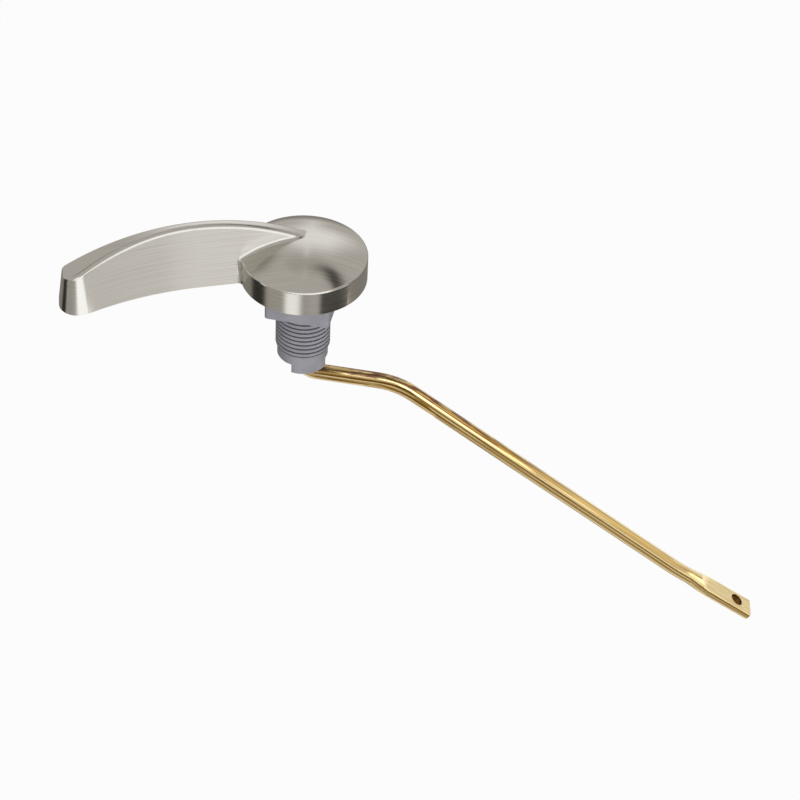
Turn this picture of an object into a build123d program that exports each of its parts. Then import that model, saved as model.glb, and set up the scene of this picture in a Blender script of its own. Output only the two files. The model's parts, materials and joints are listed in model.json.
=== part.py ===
from build123d import *
import os
from math import asin, cos, degrees, hypot, radians, sin, sqrt

# Cistern trip lever: a die-cast handle on the front of the tank turns a bent brass arm inside it.
# Millimetres and degrees. The origin is the centre of the bushing's seat on the tank wall.
# +Z points out of the tank along the bushing, and X and Y run along the sides of the square shoulder.

# Stance of the handle and arm: their turn from level at rest, the middle of their travel and its reach
REST_TURN = 9.5
MIDDLE_TURN = 22.5
TRAVEL = 22.5
STOP_MARGIN = 1.5

# Trip arm, a bent brass rod: the length and droop of each straight run, and the bends between them
ROD_D = 4.76
ARM_GAP = 2.0
ELBOW_RADIUS = 5.0
FIRST_LENGTH = 28.6
FIRST_DROOP = 7.2
KNEE_RADIUS = 22.0
LONG_LENGTH = 113.9
LONG_DROOP = 38.0
HEEL_RADIUS = 40.0
END_LENGTH = 6.3
END_DROOP = 33.9

# Flattened and drilled end of the arm
FLAT_LENGTH = 17.0
FLAT_THICK = 2.6
FLAT_WIDTH = 7.2
SWELL_RISE = 0.22
SWELL_LENGTH = 7.0
PRESS_RADIUS = 7.0
PRESS_TURN = 50.0
HOLE_D = 4.0
HOLE_SETBACK = 5.6

# Flats that key the arm's upper end into the handle
KEYED_LENGTH = 7.0
KEY_FLAT_CUT = 0.43
SOCKET_CLEARANCE = 0.02
SOCKET_SPARE = 0.2

# Tank bushing, one plastic moulding
BORE_CLEARANCE = 0.07
FLANGE_CLEARANCE = 1.35
FLANGE_THICK = 2.4
FLANGE_EDGE = 0.5
SHOULDER_SIDE = 19.0
SHOULDER_HEIGHT = 9.5
SHOULDER_CORNER = 1.2
SHANK_D = 16.0
SHANK_LENGTH = 13.6
LEAD_LENGTH = 1.4
LEAD_STEP = 0.55
NOSE_LENGTH = 2.7
MOUTH_CHAMFER = 0.8
LUG_HEIGHT = 2.9
LUG_WALL = 2.8
LUG_SPAN = 90.0
LUG_END = -13.0
STOP_HEIGHT = 3.6
STOP_INSET = 2.0
STOP_GAP = 2.5

# Handle hub, a shallow dome over a plain rim
RIM_GAP = 0.8
HUB_D = 36.5
RIM_HEIGHT = 7.8
DOME_RISE = 5.2
RIM_EDGE = 0.8
HUB_WALL = 2.4
BOSS_D = 11.0
BOSS_CLEARANCE = 0.3
RIB_COUNT = 4
RIB_THICK = 2.0
RIB_CLEARANCE = 0.8

# Handle lever, a drafted blade with an arched ridge, in plan along -X from the hub
BLADE_ROOT = 4.0
ROOT_WIDTH = 6.9
NEAR_ROOT = -0.05
NEAR_SWEEP = 11.9
NEAR_SLACK_LENGTH = 35.0
NEAR_SLACK_RADIUS = 600.0
NEAR_RADIUS = 87.5
FAR_SWEEP = 7.7
FAR_RADIUS = 277.0
BLADE_REACH = 68.2
END_PLACE = -17.5
END_TURN = 8.0
NEAR_CORNER = 5.5
FAR_CORNER = 3.0
BLADE_DRAFT = 7.1
RIDGE_RISE = 19.8
RIDGE_PLACE = 30.8
RIDGE_EDGE = 1.25
BLEND_RADIUS = 1.2
BLADE_WALL = 2.2
POCKET_DEPTH = 8.0
POCKET_STANDOFF = 1.6

# How near two points lie to count as one when an edge is looked for
SAME_PLACE = 0.01

# Diameters that follow from how the bushing sits in the hub and the arm in the bushing
RECESS_D = HUB_D - 2 * HUB_WALL
FLANGE_D = RECESS_D - 2 * FLANGE_CLEARANCE
STOP_OUTER_D = FLANGE_D - 2 * STOP_INSET
STOP_INNER_D = BOSS_D + 2 * STOP_GAP
NOSE_D = SHANK_D - 2 * LEAD_STEP
BORE_D = ROD_D + 2 * BORE_CLEARANCE

# Levels along the bushing's axis, from the arm's elbow up to the top of the lever
SHOULDER_FLOOR = -SHOULDER_HEIGHT
SHANK_FLOOR = SHOULDER_FLOOR - SHANK_LENGTH
LEAD_FLOOR = SHANK_FLOOR - LEAD_LENGTH
NOSE_FLOOR = LEAD_FLOOR - NOSE_LENGTH
LUG_FLOOR = NOSE_FLOOR - LUG_HEIGHT
ELBOW_LEVEL = LUG_FLOOR - ARM_GAP - ROD_D / 2
BOSS_FLOOR = FLANGE_THICK + BOSS_CLEARANCE
RIB_FLOOR = FLANGE_THICK + RIB_CLEARANCE
ARM_TOP = BOSS_FLOOR + KEYED_LENGTH
RIM_TOP = RIM_GAP + RIM_HEIGHT
APEX = RIM_TOP + DOME_RISE
RIDGE_TOP = RIM_GAP + RIDGE_RISE


def turned(piece):
    """Turn a piece of the handle side from level to where it stands at rest."""
    return Rot(0, 0, REST_TURN) * piece


def polar(start, distance, heading):
    """The point at a distance and heading from a point in a plane."""
    return (start[0] + distance * cos(radians(heading)), start[1] + distance * sin(radians(heading)))


def raised(plan, height):
    """A plan in the XY plane drawn straight up."""
    return extrude(plan, height, dir=(0, 0, 1))


def ring_sector(inner_d, outer_d, first, last, height):
    """A raised piece of a ring between two angles about +Z, standing on the XY plane."""
    inner = CenterArc((0, 0), inner_d / 2, first, last - first)
    outer = CenterArc((0, 0), outer_d / 2, first, last - first)
    outline = [inner, Line(inner @ 1, outer @ 1), outer, Line(outer @ 0, inner @ 0)]
    return raised(make_face(outline), height)


def between_flats(clearance):
    """The band between the arm's two key flats, wider by a clearance where it is the socket."""
    return Rectangle(4 * ROD_D, ROD_D - 2 * KEY_FLAT_CUT + 2 * clearance)


def build_bushing():
    """Flange, square shoulder, shank, tapered lead and nose, with a lug at the foot and a stop on top."""
    flange = raised(Circle(FLANGE_D / 2), FLANGE_THICK)
    flange = chamfer(flange.edges().group_by(Axis.Z)[-1], FLANGE_EDGE)
    square = RectangleRounded(SHOULDER_SIDE, SHOULDER_SIDE, SHOULDER_CORNER)
    shoulder = Pos(0, 0, SHOULDER_FLOOR) * raised(square, SHOULDER_HEIGHT)
    stem = Polyline(
        (0, SHOULDER_FLOOR),
        (SHANK_D / 2, SHOULDER_FLOOR),
        (SHANK_D / 2, SHANK_FLOOR),
        (NOSE_D / 2, LEAD_FLOOR),
        (NOSE_D / 2, NOSE_FLOOR),
        (0, NOSE_FLOOR),
        close=True,
    )
    shank = revolve(Plane.XZ * make_face(stem), Axis.Z)
    lug_inner_d = NOSE_D - 2 * LUG_WALL
    lug = Pos(0, 0, LUG_FLOOR) * ring_sector(lug_inner_d, NOSE_D, LUG_END - LUG_SPAN, LUG_END, LUG_HEIGHT)
    bore = Pos(0, 0, NOSE_FLOOR) * raised(Circle(BORE_D / 2), FLANGE_THICK - NOSE_FLOOR)
    countersink = Cone(BORE_D / 2 + MOUTH_CHAMFER, BORE_D / 2, MOUTH_CHAMFER)
    mouth = Pos(0, 0, NOSE_FLOOR + MOUTH_CHAMFER / 2) * countersink
    return flange + shoulder + shank + lug + build_stop() - bore - mouth


def build_stop():
    """The block on the flange that two neighbouring ribs of the hub swing between."""
    rib_half_angle = degrees(asin(RIB_THICK / STOP_INNER_D))
    half_span = 180 / RIB_COUNT - rib_half_angle - TRAVEL - STOP_MARGIN
    middle = MIDDLE_TURN + 180 / RIB_COUNT
    block = ring_sector(STOP_INNER_D, STOP_OUTER_D, middle - half_span, middle + half_span, STOP_HEIGHT)
    return Pos(0, 0, FLANGE_THICK) * block


def crown_radius(run, rise):
    """Radius of the arc that starts level and falls by this rise over this run."""
    return (run ** 2 + rise ** 2) / (2 * rise)


def arc_turn(length, radius):
    """How far an arc of this length and radius turns, in degrees."""
    return degrees(length / radius)


def build_hub():
    """The solid outside of the hub: rim, rounded edge and dome."""
    hub_r = HUB_D / 2
    cap = RadiusArc((hub_r, RIM_TOP), (0, APEX), -crown_radius(hub_r, DOME_RISE))
    sides = Polyline((0, APEX), (0, RIM_GAP), (hub_r, RIM_GAP), (hub_r, RIM_TOP))
    section = make_face([cap, sides])
    rim_corner = section.vertices().sort_by_distance((hub_r, RIM_TOP, 0))[0]
    return revolve(Plane.XZ * fillet(rim_corner, RIM_EDGE), Axis.Z)


def build_hub_recess():
    """The hollow under the dome, one wall in from the outside, with a coned ceiling."""
    recess_r = RECESS_D / 2
    ceiling = APEX - HUB_WALL
    inner_dome = crown_radius(HUB_D / 2, DOME_RISE) - HUB_WALL
    corner = ceiling - inner_dome + sqrt(inner_dome ** 2 - recess_r ** 2)
    section = Polyline((0, RIM_GAP), (recess_r, RIM_GAP), (recess_r, corner), (0, ceiling), close=True)
    return revolve(Plane.XZ * make_face(section), Axis.Z)


def blade_outline():
    """Plan of the lever's flat back: a slack and then a tighter arc in front, one long arc behind."""
    stock = 2 * BLADE_REACH
    near_tangent = polar((0, 0), 1, 180 + NEAR_SWEEP)
    far_tangent = polar((0, 0), 1, 180 + FAR_SWEEP)
    far_root = (BLADE_ROOT, NEAR_ROOT + ROOT_WIDTH)
    near_root = (BLADE_ROOT, NEAR_ROOT)
    near_length = BLADE_REACH - NEAR_SLACK_LENGTH / 2
    far_length = BLADE_REACH + NEAR_SLACK_LENGTH / 2
    slack_turn = arc_turn(NEAR_SLACK_LENGTH, NEAR_SLACK_RADIUS)
    slack = JernArc(near_root, near_tangent, NEAR_SLACK_RADIUS, slack_turn)
    near = JernArc(slack @ 1, slack % 1, NEAR_RADIUS, arc_turn(near_length, NEAR_RADIUS))
    far = JernArc(far_root, far_tangent, FAR_RADIUS, arc_turn(far_length, FAR_RADIUS))
    long_plan = make_face([far, Line(far @ 1, near @ 1), near, slack, Line(slack @ 0, far @ 0)])
    end_place = Pos(-BLADE_REACH, END_PLACE) * Rot(0, 0, END_TURN)
    plan = Sketch() + (long_plan & end_place * Pos(stock / 2, 0) * Rectangle(stock, 2 * stock))
    far_tip, near_tip = plan.vertices().sort_by(Axis.X)[:2].sort_by(Axis.Y, reverse=True)
    plan = fillet(near_tip, NEAR_CORNER)
    far_tip = plan.vertices().sort_by_distance((far_tip.X, far_tip.Y, 0))[0]
    return fillet(far_tip, FAR_CORNER)


def build_blade(plan):
    """The lever: the plan drawn up with draft, cut to the arched ridge, with its upper edges rounded."""
    blank = Pos(0, 0, RIM_GAP) * extrude(plan, RIDGE_RISE, taper=BLADE_DRAFT)
    ridge_radius = crown_radius(RIDGE_PLACE, RIDGE_TOP - APEX)
    arch = Rot(90, 0, 0) * Cylinder(ridge_radius, 2 * BLADE_REACH)
    blade = blank & Pos(-RIDGE_PLACE, 0, RIDGE_TOP - ridge_radius) * arch
    ridge = blade.faces().sort_by(Axis.Z)[-1]
    ridge_edges = ridge.edges().filter_by(lambda edge: edge.center().X < 0)
    return fillet(ridge_edges, RIDGE_EDGE)


def blend_blade(casting):
    """Round the inside corners where the lever's walls run into the rim and on up over the dome."""
    def stands_on_rim(edge):
        return all(abs(hypot(end.X, end.Y) - HUB_D / 2) < SAME_PLACE for end in [edge @ 0, edge @ 1])

    corners = casting.edges().filter_by(GeomType.BSPLINE).filter_by(stands_on_rim)
    return fillet(corners, BLEND_RADIUS)


def build_blade_pocket(plan):
    """The core taken out of the lever's back, one wall in from its outline and clear of the hub."""
    inside = offset(plan, -BLADE_WALL)
    pocket_edge = -HUB_D / 2 - POCKET_STANDOFF
    outside_hub = Pos(pocket_edge - BLADE_REACH, 0) * Rectangle(2 * BLADE_REACH, 4 * BLADE_REACH)
    return Pos(0, 0, RIM_GAP) * extrude(inside & outside_hub, POCKET_DEPTH, taper=BLADE_DRAFT)


def build_handle():
    """Hub and lever in one casting, hollow behind, with a ribbed boss that holds the arm."""
    plan = blade_outline()
    recess = build_hub_recess()
    boss = Pos(0, 0, BOSS_FLOOR) * raised(Circle(BOSS_D / 2), APEX - BOSS_FLOOR)
    rib = Pos(RECESS_D / 4, 0, RIB_FLOOR) * raised(Rectangle(RECESS_D / 2, RIB_THICK), APEX - RIB_FLOOR)
    ribs = PolarLocations(0, RIB_COUNT) * rib
    inner = (boss + ribs) & recess
    keyway = Circle(ROD_D / 2 + SOCKET_CLEARANCE) & between_flats(SOCKET_CLEARANCE)
    socket = Pos(0, 0, BOSS_FLOOR) * raised(keyway, KEYED_LENGTH + SOCKET_SPARE)
    casting = blend_blade(build_hub() + build_blade(plan))
    return turned(casting - recess - build_blade_pocket(plan) + inner - socket)


def build_arm():
    """The rod swept along its bends in one plane, pressed flat at the tip, with flats at the top."""
    elbow = (0, ELBOW_LEVEL)
    knee = polar(elbow, FIRST_LENGTH, -FIRST_DROOP)
    heel = polar(knee, LONG_LENGTH, -LONG_DROOP)
    rod_end = polar(heel, END_LENGTH, -END_DROOP)
    corners = [(out, 0, height) for out, height in [(0, ARM_TOP), elbow, knee, heel, rod_end]]
    path = FilletPolyline(*corners, radius=[ELBOW_RADIUS, KNEE_RADIUS, HEEL_RADIUS])
    rod = sweep(Plane((0, 0, ARM_TOP), z_dir=(0, 0, -1)) * Circle(ROD_D / 2), path)
    off_cuts = raised(Circle(ROD_D) - between_flats(0), KEYED_LENGTH)
    return turned(rod - Pos(0, 0, ARM_TOP - KEYED_LENGTH) * off_cuts + build_arm_end(rod_end))


def build_arm_end(start):
    """The pressed end: the rod swells sideways to an oval, and a pair of dies presses it flat."""
    along = polar((0, 0), 1, -END_DROOP)
    seat = Plane((start[0], 0, start[1]), x_dir=(0, 1, 0), z_dir=(along[0], 0, along[1]))
    oval = Pos(0, 0, SWELL_LENGTH) * Ellipse(FLAT_WIDTH / 2, ROD_D / 2 + SWELL_RISE)
    swell = loft([Circle(ROD_D / 2), oval])
    tongue = extrude(oval, FLAT_LENGTH)
    hole_place = Pos(0, 0, SWELL_LENGTH + FLAT_LENGTH - HOLE_SETBACK)
    hole = hole_place * Rot(90, 0, 0) * Cylinder(HOLE_D / 2, 2 * ROD_D)
    die = build_die()
    return seat * (swell + tongue - die - mirror(die, Plane.XZ) - hole)


def build_die():
    """The space that one die takes over the flat, with a rounded shoulder where it leaves the rod."""
    flat = FLAT_THICK / 2
    far = SWELL_LENGTH + 2 * FLAT_LENGTH
    shoulder = JernArc((flat, SWELL_LENGTH), (0, -1), PRESS_RADIUS, PRESS_TURN)
    lift = shoulder @ 1
    back = Polyline((lift.X, lift.Y), (far, lift.Y), (far, far), (flat, far), (flat, SWELL_LENGTH))
    return extrude(Plane.YZ * make_face([shoulder, back]), FLAT_WIDTH, both=True)


pieces = {
    "lever_handle": build_handle(),
    "tank_bushing": build_bushing(),
    "trip_arm": build_arm(),
}

os.makedirs("parts", exist_ok=True)
for name, piece in pieces.items():
    export_step(piece, f"parts/{name}.step")
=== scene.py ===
"""The cistern lever dressed as in the photograph: nickel handle, acetal bushing and brass trip arm."""

import json
from math import cos, pi, radians, sin

import bpy
from mathutils import Matrix, Vector


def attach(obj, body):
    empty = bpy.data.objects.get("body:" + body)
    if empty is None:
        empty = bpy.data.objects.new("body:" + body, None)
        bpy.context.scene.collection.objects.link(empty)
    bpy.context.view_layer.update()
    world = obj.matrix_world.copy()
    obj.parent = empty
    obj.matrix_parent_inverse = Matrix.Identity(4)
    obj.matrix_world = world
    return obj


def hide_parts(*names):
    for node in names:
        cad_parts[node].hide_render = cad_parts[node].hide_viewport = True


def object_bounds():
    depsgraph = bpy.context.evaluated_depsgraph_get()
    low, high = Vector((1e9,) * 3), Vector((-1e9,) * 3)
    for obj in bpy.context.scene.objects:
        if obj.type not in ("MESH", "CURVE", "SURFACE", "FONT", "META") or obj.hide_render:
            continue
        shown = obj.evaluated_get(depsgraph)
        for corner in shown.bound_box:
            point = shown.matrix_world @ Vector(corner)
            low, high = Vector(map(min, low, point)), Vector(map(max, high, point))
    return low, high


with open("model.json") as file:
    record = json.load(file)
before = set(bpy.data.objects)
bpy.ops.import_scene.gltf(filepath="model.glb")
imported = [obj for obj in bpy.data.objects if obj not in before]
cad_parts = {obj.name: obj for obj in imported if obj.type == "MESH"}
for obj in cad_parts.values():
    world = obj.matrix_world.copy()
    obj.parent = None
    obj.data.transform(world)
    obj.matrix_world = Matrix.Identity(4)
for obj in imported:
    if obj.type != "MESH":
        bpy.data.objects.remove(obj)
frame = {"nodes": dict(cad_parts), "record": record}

CAD_BOX = [list(corner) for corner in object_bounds()]
MM = 0.001

# In the pictured pose the handle and its arm stand turned by this much about the shank's axis.
REST_TURN = radians(9.5)

# The camera's place from the hub's axis, in the handle's own turned frame.
CAMERA_PLACE = Vector((29.4, -600.9, 476.8)) * MM
CAMERA_ELEVATION = radians(40.95)
CAMERA_ROLL = radians(3)
CAMERA_LENS = 120

# The floor's side in metres, its gap under the arm, and the share of it that shows white and no shadow.
FLOOR_SIZE = 6.0
FLOOR_DROP = 0.5 * MM
FLOOR_WHITE = 0.95

# The key lamp's side in metres, its power in watts and its place in metres, in the handle's turned frame.
LAMP_SIZE = 0.5
LAMP_POWER = 3.7
LAMP_PLACE = Vector((0.24, -0.82, 0.12))

# The bushing's thread.
THREAD_PITCH = 1.5 * MM
THREAD_TURNS = 9
THREAD_STEPS = 72
THREAD_TOP = -10.3 * MM
SHANK_RADIUS = 8.0 * MM
GROOVE_ROOT_RADIUS = 6.85 * MM
GROOVE_ROOT_WIDTH = 0.6 * MM
GROOVE_WIDTH = 0.88 * MM
GROOVE_OVERCUT = 0.2 * MM
WELD_DISTANCE = 0.001 * MM
SMOOTH_ANGLE = radians(30)

# The trip arm's bends, the droop of the run after each, and the lever's tip, in the handle's turned frame.
ARM_ELBOW = Vector((0, 0, -34.48 * MM))
ARM_KNEE = Vector((28.4 * MM, 0, -38.07 * MM))
ARM_HEEL = Vector((118.2 * MM, 0, -108.2 * MM))
FIRST_DROOP = radians(7.2)
LONG_DROOP = radians(38)
END_DROOP = radians(33.9)
KNEE_ROUNDING = 5 * MM
LEVER_TIP = Vector((-61.1 * MM, -22.3 * MM, 6.0 * MM))

# Patterns on the surfaces. Brushing, drawing lines and mould grain are finer than a pixel on the real part,
# so they are drawn coarse enough to show.
BRUSH_LENGTH = 30 * MM
BRUSH_WIDTH = 0.3 * MM
BRUSH_DEPTH = 0.01 * MM
FLOW_MARK = 6 * MM
MOULD_GRAIN = 0.5 * MM
GRAIN_DEPTH = 0.02 * MM
DRAWING_LENGTH = 25 * MM
DRAWING_WIDTH = 0.4 * MM
DRAWING_DEPTH = 0.02 * MM
STAIN_LENGTH = 6 * MM
STAIN_WIDTH = 0.7 * MM

# Where along the arm the tarnish ends and where it is full, the heights over the rod's axis between which it
# grows to full, and how far the painted shade of the chain hole reaches out over its edge.
TARNISH_END = 95 * MM
TARNISH_FULL = 45 * MM
STAIN_FOOT = 1.65 * MM
STAIN_HEAD = 1.95 * MM
HOLE_SHADE_REACH = 0.3 * MM


def linear(hex_colour):
    """An sRGB hex colour as linear RGBA."""
    shares = [int(hex_colour[i : i + 2], 16) / 255 for i in (1, 3, 5)]
    return [s / 12.92 if s <= 0.04045 else ((s + 0.055) / 1.055) ** 2.4 for s in shares] + [1.0]


def add(tree, kind, inputs=None, **settings):
    """One node in a tree: settings by name, and inputs by socket, each a value or another node's output."""
    node = tree.nodes.new(kind)
    for name, value in settings.items():
        setattr(node, name, value)
    for socket, value in (inputs or {}).items():
        if isinstance(value, bpy.types.NodeSocket):
            tree.links.new(value, node.inputs[socket])
        else:
            node.inputs[socket].default_value = value
    return node


def new_material(name):
    """An empty node material with its output, as (material, tree, output)."""
    material = bpy.data.materials.new(name)
    material.use_nodes = True
    tree = material.node_tree
    tree.nodes.clear()
    return material, tree, add(tree, "ShaderNodeOutputMaterial")


def paint(piece, material):
    """Give a piece one material and nothing else."""
    piece.data.materials.clear()
    piece.data.materials.append(material)


def handle_coordinates(tree):
    """Object coordinates turned back by the rest turn, so that X runs along the handle and its arm."""
    place = add(tree, "ShaderNodeTexCoord").outputs["Object"]
    turn = {"Vector": place, "Rotation": (0, 0, -REST_TURN)}
    return add(tree, "ShaderNodeMapping", turn).outputs["Vector"]


def streaks(tree, place, length, width, detail):
    """A pattern of streaks along X, of a real length and width."""
    stretch = {"Vector": place, "Scale": (1 / length, 1 / width, 1 / width)}
    drawn = add(tree, "ShaderNodeMapping", stretch).outputs["Vector"]
    noise = {"Vector": drawn, "Scale": 1.0, "Detail": detail}
    return add(tree, "ShaderNodeTexNoise", noise).outputs["Fac"]


def brushed_nickel():
    """Nickel-plated zinc brushed along the lever: a warm grey, its highlights drawn out across the lines."""
    material, tree, output = new_material("brushed_nickel_plate")
    part = add(tree, "ShaderNodeSeparateXYZ", {"Vector": handle_coordinates(tree)})
    normal = add(tree, "ShaderNodeTexCoord").outputs["Normal"]
    facing = add(tree, "ShaderNodeSeparateXYZ", {"Vector": normal})
    upturned = {"Value": facing.outputs["Z"], "From Min": 0.4, "From Max": 0.7}
    lie = add(tree, "ShaderNodeMapRange", upturned).outputs["Result"]
    # The lines part by height on the upright walls and by place across the lever on the crowned top.
    apart = {0: lie, 2: part.outputs["Z"], 3: part.outputs["Y"]}
    across = add(tree, "ShaderNodeMix", apart).outputs[0]
    brush = add(tree, "ShaderNodeCombineXYZ", {"X": part.outputs["X"], "Y": across}).outputs["Vector"]
    lines = streaks(tree, brush, BRUSH_LENGTH, BRUSH_WIDTH, 3.0)
    tone = add(tree, "ShaderNodeValToRGB", {"Fac": lines})
    tone.color_ramp.elements[0].position = 0.3
    tone.color_ramp.elements[0].color = linear("#DAD7D0")
    tone.color_ramp.elements[1].position = 0.7
    tone.color_ramp.elements[1].color = linear("#EAE8E4")
    worn = {"Value": lines, "From Min": 0.3, "From Max": 0.7, "To Min": 0.14, "To Max": 0.19}
    rough = add(tree, "ShaderNodeMapRange", worn).outputs["Result"]
    bump = add(tree, "ShaderNodeBump", {"Height": lines, "Strength": 0.1, "Distance": BRUSH_DEPTH})
    grain = {"Vector": Matrix.Rotation(REST_TURN, 3, "Z") @ Vector((1, 0, 0))}
    spaces = {"convert_from": "OBJECT", "convert_to": "WORLD"}
    tangent = add(tree, "ShaderNodeVectorTransform", grain, **spaces).outputs["Vector"]
    shader = add(
        tree,
        "ShaderNodeBsdfPrincipled",
        {
            "Base Color": tone.outputs["Color"],
            "Metallic": 1.0,
            "Roughness": rough,
            "Anisotropic": 0.4,
            "Anisotropic Rotation": 0.25,
            "Tangent": tangent,
            "Normal": bump.outputs["Normal"],
        },
    )
    tree.links.new(shader.outputs["BSDF"], output.inputs["Surface"])
    return material


def grey_acetal():
    """Acetal as it left the mould: a waxy cool grey with a soft sheen and faint flow marks."""
    material, tree, output = new_material("moulded_grey_acetal")
    place = add(tree, "ShaderNodeTexCoord").outputs["Object"]
    flow = add(tree, "ShaderNodeTexNoise", {"Vector": place, "Scale": 1 / FLOW_MARK, "Detail": 2.0})
    tone = add(tree, "ShaderNodeValToRGB", {"Fac": flow.outputs["Fac"]})
    tone.color_ramp.elements[0].position = 0.35
    tone.color_ramp.elements[0].color = linear("#919198")
    tone.color_ramp.elements[1].position = 0.65
    tone.color_ramp.elements[1].color = linear("#9C9CA4")
    grain = add(tree, "ShaderNodeTexNoise", {"Vector": place, "Scale": 1 / MOULD_GRAIN, "Detail": 2.0})
    relief = {"Height": grain.outputs["Fac"], "Strength": 0.15, "Distance": GRAIN_DEPTH}
    bump = add(tree, "ShaderNodeBump", relief)
    shader = add(
        tree,
        "ShaderNodeBsdfPrincipled",
        {
            "Base Color": tone.outputs["Color"],
            "Roughness": 0.42,
            "IOR": 1.48,
            "Normal": bump.outputs["Normal"],
        },
    )
    tree.links.new(shader.outputs["BSDF"], output.inputs["Surface"])
    return material


def rod_coordinates(tree):
    """The handle's coordinates with the rod's bends taken out, so that Z is the height over its axis."""
    along = handle_coordinates(tree)
    part = add(tree, "ShaderNodeSeparateXYZ", {"Vector": along})
    heights = []
    for corner, droop in ((ARM_ELBOW, FIRST_DROOP), (ARM_KNEE, LONG_DROOP)):
        upwards = Vector((sin(droop), 0, cos(droop)))
        lifted = {0: along, 1: upwards}
        rise = add(tree, "ShaderNodeVectorMath", lifted, operation="DOT_PRODUCT").outputs["Value"]
        over = {0: rise, 1: corner.dot(upwards)}
        heights.append(add(tree, "ShaderNodeMath", over, operation="SUBTRACT").outputs[0])
    # The greater of the heights over the first run and over the long run rounds the knee.
    knee = {0: heights[0], 1: heights[1], 2: KNEE_ROUNDING}
    height = add(tree, "ShaderNodeMath", knee, operation="SMOOTH_MAX").outputs[0]
    straight = {"X": part.outputs["X"], "Y": part.outputs["Y"], "Z": height}
    return add(tree, "ShaderNodeCombineXYZ", straight).outputs["Vector"]


def painted_hole_shade(tree):
    """Painted shade on the wall of the chain hole and just around its edge, from 0 to 1."""
    hole = next(mount for mount in frame["record"]["mounts"] if mount["name"] == "chain_hole")
    radius = hole["dims"]["r_mm"] * MM
    place = add(tree, "ShaderNodeTexCoord").outputs["Object"]
    aside = add(tree, "ShaderNodeVectorMath", {0: place, 1: hole["pos_m"]}, operation="SUBTRACT")
    turned = {0: aside.outputs[0], 1: hole["axis"]}
    swept = add(tree, "ShaderNodeVectorMath", turned, operation="CROSS_PRODUCT").outputs[0]
    off_axis = add(tree, "ShaderNodeVectorMath", {0: swept}, operation="LENGTH").outputs["Value"]
    shaded_band = {"Value": off_axis, "From Min": radius + HOLE_SHADE_REACH, "From Max": radius}
    return add(tree, "ShaderNodeMapRange", shaded_band).outputs["Result"]


def brass_rod():
    """Drawn brass: a warm satin gold with lines along the rod and brown tarnish in streaks by its bends."""
    material, tree, output = new_material("tarnished_drawn_brass")
    rod = rod_coordinates(tree)
    part = add(tree, "ShaderNodeSeparateXYZ", {"Vector": rod})
    drawing = streaks(tree, rod, DRAWING_LENGTH, DRAWING_WIDTH, 4.0)
    staining = streaks(tree, rod, STAIN_LENGTH, STAIN_WIDTH, 6.0)
    reach = {"Value": part.outputs["X"], "From Min": TARNISH_END, "From Max": TARNISH_FULL}
    old = add(tree, "ShaderNodeMapRange", reach, interpolation_type="SMOOTHSTEP").outputs["Result"]
    stained = {"Value": staining, "From Min": 0.48, "From Max": 0.58}
    stain = add(tree, "ShaderNodeMapRange", stained, interpolation_type="SMOOTHSTEP").outputs["Result"]
    # The water that stains it stands on the upper side.
    wetted = {"Value": part.outputs["Z"], "From Min": STAIN_FOOT, "From Max": STAIN_HEAD, "To Min": 0.1}
    upper = add(tree, "ShaderNodeMapRange", wetted, interpolation_type="SMOOTHSTEP").outputs["Result"]
    spread = add(tree, "ShaderNodeMath", {0: old, 1: upper}, operation="MULTIPLY").outputs[0]
    tarnish = add(tree, "ShaderNodeMath", {0: stain, 1: spread}, operation="MULTIPLY").outputs[0]
    warm = {0: old, 6: linear("#F2DCA4"), 7: linear("#EDD69E")}
    brass = add(tree, "ShaderNodeMix", warm, data_type="RGBA").outputs[2]
    ground = {0: old, 6: linear("#DEC692"), 7: linear("#A07A3A")}
    groove = add(tree, "ShaderNodeMix", ground, data_type="RGBA").outputs[2]
    ridged = {"Value": drawing, "From Min": 0.42, "From Max": 0.54}
    ridge = add(tree, "ShaderNodeMapRange", ridged).outputs["Result"]
    lined = add(tree, "ShaderNodeMix", {0: ridge, 6: groove, 7: brass}, data_type="RGBA").outputs[2]
    brown = {0: tarnish, 6: lined, 7: linear("#85604E")}
    aged = add(tree, "ShaderNodeMix", brown, data_type="RGBA").outputs[2]
    # The chain hole's wall and the rim around it are darkened with a painted shade.
    hole_shaded = {0: painted_hole_shade(tree), 6: aged, 7: linear("#8A6838")}
    tone = add(tree, "ShaderNodeMix", hole_shaded, data_type="RGBA").outputs[2]
    dulled = {"Value": tarnish, "To Min": 0.17, "To Max": 0.4}
    rough = add(tree, "ShaderNodeMapRange", dulled).outputs["Result"]
    bump = add(tree, "ShaderNodeBump", {"Height": drawing, "Strength": 0.3, "Distance": DRAWING_DEPTH})
    shader = add(
        tree,
        "ShaderNodeBsdfPrincipled",
        {
            "Base Color": tone,
            "Metallic": 1.0,
            "Roughness": rough,
            "Normal": bump.outputs["Normal"],
        },
    )
    tree.links.new(shader.outputs["BSDF"], output.inputs["Surface"])
    return material


def white_floor():
    """Matt white card, plain white to look at but for a faint shadow."""
    material, tree, output = new_material("matt_white_card")
    card = add(tree, "ShaderNodeBsdfDiffuse", {"Color": linear("#F2F2F2")})
    white = add(tree, "ShaderNodeEmission", {"Strength": 1.0})
    ray = add(tree, "ShaderNodeLightPath")
    through = {0: ray.outputs["Is Glossy Ray"], 1: ray.outputs["Is Transmission Ray"]}
    mirrored = add(tree, "ShaderNodeMath", through, operation="MAXIMUM").outputs[0]
    looked_at = {0: ray.outputs["Is Camera Ray"], 1: mirrored}
    seen = add(tree, "ShaderNodeMath", looked_at, operation="MAXIMUM").outputs[0]
    share = add(tree, "ShaderNodeMath", {0: seen, 1: FLOOR_WHITE}, operation="MULTIPLY").outputs[0]
    mixed = {0: share, 1: card.outputs["BSDF"], 2: white.outputs["Emission"]}
    mix = add(tree, "ShaderNodeMixShader", mixed)
    tree.links.new(mix.outputs["Shader"], output.inputs["Surface"])
    return material


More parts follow.
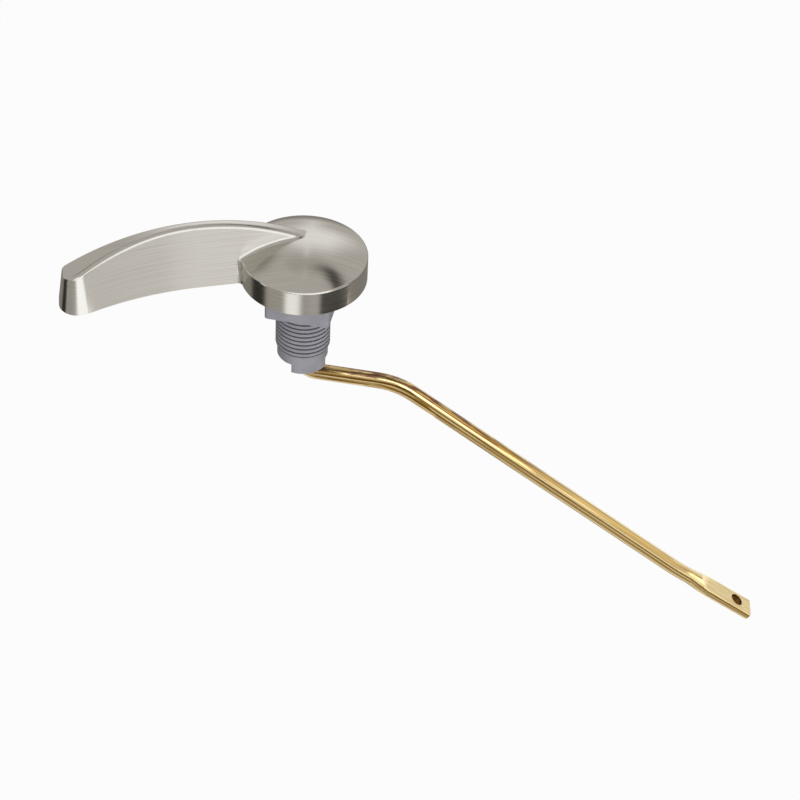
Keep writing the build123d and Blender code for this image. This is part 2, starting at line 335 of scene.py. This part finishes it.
def thread_cutter():
    """A tapering cutter swept down the shank as a left-hand helix, as cistern bushings are threaded."""
    bpy.ops.object.select_all(action="DESELECT")
    bpy.ops.mesh.primitive_plane_add(size=1)
    cutter = bpy.context.object
    bpy.ops.object.mode_set(mode="EDIT")
    bpy.ops.mesh.delete(type="ONLY_FACE")
    bpy.ops.mesh.select_all(action="SELECT")
    bpy.ops.transform.rotate(value=pi / 2, orient_axis="X", center_override=(0, 0, 0))
    depth = SHANK_RADIUS + GROOVE_OVERCUT - GROOVE_ROOT_RADIUS
    bpy.ops.transform.resize(value=(depth, 1, GROOVE_WIDTH), center_override=(0, 0, 0))
    middle = Vector((GROOVE_ROOT_RADIUS + depth / 2, 0, THREAD_TOP))
    bpy.ops.transform.translate(value=middle)
    bpy.ops.object.mode_set(mode="OBJECT")
    for vertex in cutter.data.vertices:
        vertex.select = vertex.co.x < middle.x
    bpy.ops.object.mode_set(mode="EDIT")
    bpy.ops.transform.resize(value=(1, 1, GROOVE_ROOT_WIDTH / GROOVE_WIDTH), center_override=middle)
    bpy.ops.object.mode_set(mode="OBJECT")
    bpy.ops.object.modifier_add(type="SCREW")
    sweep = cutter.modifiers[-1]
    sweep.screw_offset = -THREAD_PITCH
    sweep.iterations = THREAD_TURNS
    sweep.steps = THREAD_STEPS
    sweep.render_steps = THREAD_STEPS
    bpy.ops.object.modifier_apply(modifier=sweep.name)
    bpy.ops.object.mode_set(mode="EDIT")
    bpy.ops.mesh.select_all(action="SELECT")
    bpy.ops.mesh.fill_holes(sides=4)
    bpy.ops.mesh.normals_make_consistent(inside=False)
    bpy.ops.object.mode_set(mode="OBJECT")
    return cutter


def threaded_bushing():
    """The CAD bushing with its thread cut into the shank."""
    solid = frame["nodes"]["tank_bushing"]
    bushing = bpy.data.objects.new("threaded_bushing", solid.data.copy())
    bpy.context.collection.objects.link(bushing)
    cutter = thread_cutter()
    bpy.ops.object.select_all(action="DESELECT")
    bushing.select_set(True)
    bpy.context.view_layer.objects.active = bushing
    bpy.ops.object.mode_set(mode="EDIT")
    bpy.ops.mesh.select_all(action="SELECT")
    bpy.ops.mesh.customdata_custom_splitnormals_clear()
    bpy.ops.mesh.remove_doubles(threshold=WELD_DISTANCE)
    bpy.ops.object.mode_set(mode="OBJECT")
    bpy.ops.object.modifier_add(type="BOOLEAN")
    cut = bushing.modifiers[-1]
    cut.operation = "DIFFERENCE"
    cut.solver = "EXACT"
    cut.object = cutter
    bpy.ops.object.modifier_apply(modifier=cut.name)
    bpy.data.objects.remove(cutter)
    bpy.ops.object.shade_smooth_by_angle(angle=SMOOTH_ANGLE)
    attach(bushing, "bushing")
    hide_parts("tank_bushing")
    return bushing


def set_floor():
    """The white floor under the arm's end, left out of mirror images so that the metal shows the studio."""
    bpy.ops.object.select_all(action="DESELECT")
    bpy.ops.mesh.primitive_plane_add(size=FLOOR_SIZE, location=(0, 0, CAD_BOX[0][2] - FLOOR_DROP))
    floor = bpy.context.object
    floor.name = "floor"
    floor.visible_glossy = False
    paint(floor, white_floor())


# Cards this far from the line of the metal that mirrors them. For each: the point that its line starts from
# and the line's droop; where it begins and ends along the line and how softly, in millimetres; its turn
# about the line, from level on the camera's side upwards, in degrees; its width and how softly that ends, in
# millimetres; its colour and its brightness.
CARD_DISTANCE = 12 * MM
NEAR_CARDS = {
    "first_run_strip": (ARM_ELBOW, FIRST_DROOP, 10, 42, 4, 58, 3.6, 1.0, "#FFFFFF", 2.6),
    "first_run_shade": (ARM_ELBOW, FIRST_DROOP, 4, 42, 1, 18, 8, 1.0, "#826B3C", 1.0),
    "first_run_low_shade": (ARM_ELBOW, FIRST_DROOP, 4, 42, 1, -40, 6, 1.0, "#8C7548", 1.0),
    "first_run_low_strip": (ARM_ELBOW, FIRST_DROOP, 4, 42, 1, -80, 8, 1.0, "#FFFFFF", 0.9),
    "long_run_strip": (ARM_KNEE, LONG_DROOP, -2, 60, 6, 54, 4.8, 1.0, "#FFFFFF", 3.4),
    "long_run_faint_strip": (ARM_KNEE, LONG_DROOP, 50, 95, 16, 54, 4.8, 2.0, "#FFFFFF", 1.3),
    "long_run_sky": (ARM_KNEE, LONG_DROOP, -2, 124, 8, 86, 21, 4.0, "#F4E3C2", 0.9),
    "long_run_shade": (ARM_KNEE, LONG_DROOP, -4, 160, 1, 14, 6, 0.8, "#8F7A50", 1.0),
    "long_run_low_shade": (ARM_KNEE, LONG_DROOP, -4, 160, 1, -25, 3.4, 0.8, "#8F7A50", 1.0),
    "long_run_low_strip": (ARM_KNEE, LONG_DROOP, -4, 160, 1, -54, 5.5, 1.0, "#EBD9BC", 0.78),
    "long_run_under": (ARM_KNEE, LONG_DROOP, -4, 160, 1, -97, 8, 1.0, "#FFFFFF", 0.45),
    "long_run_back": (ARM_KNEE, LONG_DROOP, -4, 160, 1, 161, 10, 2.0, "#FFFFFF", 1.15),
    "flat_card": (ARM_HEEL, END_DROOP, 3, 52, 3, 144, 18, 3.0, "#FFFFFF", 0.85),
    "flat_edge_strip": (ARM_HEEL, END_DROOP, 8, 46, 4, 70, 12, 4.0, "#FFF6E0", 2.4),
    "tip_strip": (LEVER_TIP, 0, -4.5, 18.0, 6, -25, 26, 6.0, "#FFFFFF", 1.2),
}


def glowing_card(name, colour, brightness, fades):
    """Card that glows evenly and fades out towards its edges: for each side, the share of it that fades."""
    material, tree, output = new_material(name)
    glow = add(tree, "ShaderNodeEmission", {"Color": linear(colour), "Strength": brightness})
    place = add(tree, "ShaderNodeTexCoord").outputs["Object"]
    part = add(tree, "ShaderNodeSeparateXYZ", {"Vector": place})
    mask = 1.0
    for side, fade in fades.items():
        away = add(tree, "ShaderNodeMath", {0: part.outputs[side]}, operation="ABSOLUTE").outputs[0]
        edge = {"Value": away, "From Min": 0.5, "From Max": 0.5 - fade}
        inside = add(tree, "ShaderNodeMapRange", edge, interpolation_type="SMOOTHSTEP").outputs["Result"]
        mask = add(tree, "ShaderNodeMath", {0: mask, 1: inside}, operation="MULTIPLY").outputs[0]
    clear = add(tree, "ShaderNodeBsdfTransparent")
    mixed = {0: mask, 1: clear.outputs["BSDF"], 2: glow.outputs["Emission"]}
    mix = add(tree, "ShaderNodeMixShader", mixed)
    tree.links.new(mix.outputs["Shader"], output.inputs["Surface"])
    return material


def set_near_cards():
    """Brown and white cards by the trip arm and the lever's tip, seen only as lines in the polish."""
    for name, settings in NEAR_CARDS.items():
        start, droop, first, last, fade, turn, width, soft, colour, brightness = settings
        length = last - first
        bpy.ops.object.select_all(action="DESELECT")
        bpy.ops.mesh.primitive_plane_add(size=1)
        card = bpy.context.object
        card.name = name
        card.matrix_world = (
            Matrix.Rotation(REST_TURN, 4, "Z")
            @ Matrix.Translation(start)
            @ Matrix.Rotation(droop, 4, "Y")
            @ Matrix.Rotation(radians(-turn), 4, "X")
            @ Matrix.Translation(((first + last) / 2 * MM, -CARD_DISTANCE, 0))
            @ Matrix.Rotation(pi / 2, 4, "X")
            @ Matrix.Diagonal((length * MM, width * MM, 1, 1))
        )
        card.visible_camera = False
        card.visible_diffuse = False
        card.visible_shadow = False
        paint(card, glowing_card(name, colour, brightness, {"X": fade / length, "Y": soft / width}))


def set_camera():
    """The photograph's long lens, above and in front of the handle."""
    lens = bpy.data.cameras.new("camera")
    lens.lens = CAMERA_LENS
    camera = bpy.data.objects.new("camera", lens)
    bpy.context.collection.objects.link(camera)
    camera.matrix_world = (
        Matrix.Rotation(REST_TURN, 4, "Z")
        @ Matrix.Translation(CAMERA_PLACE)
        @ Matrix.Rotation(pi / 2 - CAMERA_ELEVATION, 4, "X")
        @ Matrix.Rotation(CAMERA_ROLL, 4, "Z")
    )
    bpy.context.scene.camera = camera


# Soft white and dark cards all round the object. For each: its azimuth from the camera towards the right,
# its elevation, half width, half height and softness, all in degrees; the lean of its azimuth per degree of
# elevation; and its brightness. A later card covers an earlier one.
CARDS = {
    "grey_ceiling": (0, 60, 180, 65, 8, 0, 0.5),
    "back_floor": (180, -50, 95, 45, 8, 0, 0.25),
    "front_floor": (-10, -45, 80, 45, 8, 0, 0.38),
    "front_right": (40, -22, 28, 12, 6, 0, 0.68),
    "left_black": (-88, -35, 17, 40, 7, 0, 0.035),
    "right_black": (63, -62, 30, 29, 5, 0, 0.02),
    "floor_under": (0, -90, 180, 26, 8, 0, 1.0),
    "low_strip": (-20, -42, 14, 9, 6, 1, 1.08),
    "wall_card": (20, -25, 10, 7, 6, 0, 0.8),
    "front_horizon": (12, 10, 38, 22, 12, 0, 1.15),
    "right_softbox": (88, 18, 26, 14, 8, 0, 0.5),
    "right_dark": (72, 0, 22, 12, 6, 0, 0.25),
    "back_softbox": (176, 32, 20, 17, 12, 0, 0.89),
    "back_ceiling": (180, 70, 40, 8, 8, 0, 0.4),
    "right_shade": (114, 63, 27, 7, 7, 2.75, 0.02),
    "left_shade": (-132, 42, 14, 9, 9, 0, 0.2),
}
BACKDROP = 1.0
DAYLIGHT = 0.42


def mirrored_level(tree):
    """How bright the studio is in each direction, as metal mirrors it."""
    ray = add(tree, "ShaderNodeTexCoord").outputs["Generated"]
    turned = add(tree, "ShaderNodeMapping", {"Vector": ray, "Rotation": (0, 0, -REST_TURN)})
    part = add(tree, "ShaderNodeSeparateXYZ", {"Vector": turned.outputs["Vector"]})
    towards = add(tree, "ShaderNodeMath", {0: part.outputs["Y"], 1: -1.0}, operation="MULTIPLY")
    aside = {0: part.outputs["X"], 1: towards.outputs[0]}
    bearing = add(tree, "ShaderNodeMath", aside, operation="ARCTAN2")
    azimuth = add(tree, "ShaderNodeMath", {0: bearing.outputs[0]}, operation="DEGREES").outputs[0]
    height = add(tree, "ShaderNodeMath", {0: part.outputs["Z"]}, operation="ARCSINE")
    elevation = add(tree, "ShaderNodeMath", {0: height.outputs[0]}, operation="DEGREES").outputs[0]
    level = BACKDROP
    for middle, rise, half_width, half_height, soft, lean, brightness in CARDS.values():
        above = add(tree, "ShaderNodeMath", {0: elevation, 1: rise}, operation="SUBTRACT").outputs[0]
        leaning = {0: above, 1: -lean, 2: -middle}
        slant = add(tree, "ShaderNodeMath", leaning, operation="MULTIPLY_ADD").outputs[0]
        beside = add(tree, "ShaderNodeMath", {0: azimuth, 1: slant}, operation="ADD").outputs[0]
        around = {0: beside, 1: 180.0, 2: -180.0}
        wrapped = add(tree, "ShaderNodeMath", around, operation="WRAP").outputs[0]
        mask = 1.0
        for offset, half in ((wrapped, half_width), (above, half_height)):
            away = add(tree, "ShaderNodeMath", {0: offset}, operation="ABSOLUTE").outputs[0]
            edge = {"Value": away, "From Min": half + soft, "From Max": half - soft}
            smooth = {"interpolation_type": "SMOOTHSTEP"}
            inside = add(tree, "ShaderNodeMapRange", edge, **smooth).outputs["Result"]
            mask = add(tree, "ShaderNodeMath", {0: mask, 1: inside}, operation="MULTIPLY").outputs[0]
        level = add(tree, "ShaderNodeMix", {0: mask, 2: level, 3: brightness}).outputs[0]
    return level


def set_studio():
    """A plain soft studio: even light for matt surfaces, and white and dark cards for metal to mirror."""
    world = bpy.data.worlds.new("studio")
    bpy.context.scene.world = world
    world.use_nodes = True
    tree = world.node_tree
    tree.nodes.clear()
    level = mirrored_level(tree)
    path = add(tree, "ShaderNodeLightPath")
    through = {0: path.outputs["Is Glossy Ray"], 1: path.outputs["Is Transmission Ray"]}
    mirrored = add(tree, "ShaderNodeMath", through, operation="MAXIMUM").outputs[0]
    seen = add(tree, "ShaderNodeMix", {0: mirrored, 2: DAYLIGHT, 3: level}).outputs[0]
    shown = {0: path.outputs["Is Camera Ray"], 2: seen, 3: BACKDROP}
    strength = add(tree, "ShaderNodeMix", shown).outputs[0]
    # What is dim in the room is warm, so the dark bands on the metal are brown and not grey.
    whiteness = add(tree, "ShaderNodeMix", {0: mirrored, 2: 1.0, 3: level}).outputs[0]
    tint = {0: whiteness, 6: linear("#F6EBDA"), 7: linear("#FFFFFF")}
    colour = add(tree, "ShaderNodeMix", tint, data_type="RGBA").outputs[2]
    sky = add(tree, "ShaderNodeBackground", {"Color": colour, "Strength": strength})
    output = add(tree, "ShaderNodeOutputWorld")
    tree.links.new(sky.outputs["Background"], output.inputs["Surface"])
    # Sampled as a lamp, the sky would light the metal by its daylight and not by its cards.
    world.cycles.sampling_method = "NONE"


def set_key_lamp():
    """One broad soft lamp low on the camera's right, which shades the grooves of the bushing's thread."""
    lamp = bpy.data.lights.new("key_lamp", "AREA")
    lamp.size = LAMP_SIZE
    lamp.energy = LAMP_POWER
    key = bpy.data.objects.new("key_lamp", lamp)
    bpy.context.collection.objects.link(key)
    place = Matrix.Rotation(REST_TURN, 3, "Z") @ LAMP_PLACE
    key.location = place
    key.rotation_euler = (-place).to_track_quat("-Z", "Y").to_euler()
    key.visible_glossy = False


threaded = threaded_bushing()
paint(threaded, grey_acetal())
paint(frame["nodes"]["lever_handle"], brushed_nickel())
paint(frame["nodes"]["trip_arm"], brass_rod())

set_floor()
set_near_cards()
set_camera()
set_studio()
set_key_lamp()
bpy.context.scene.view_settings.view_transform = "Standard"
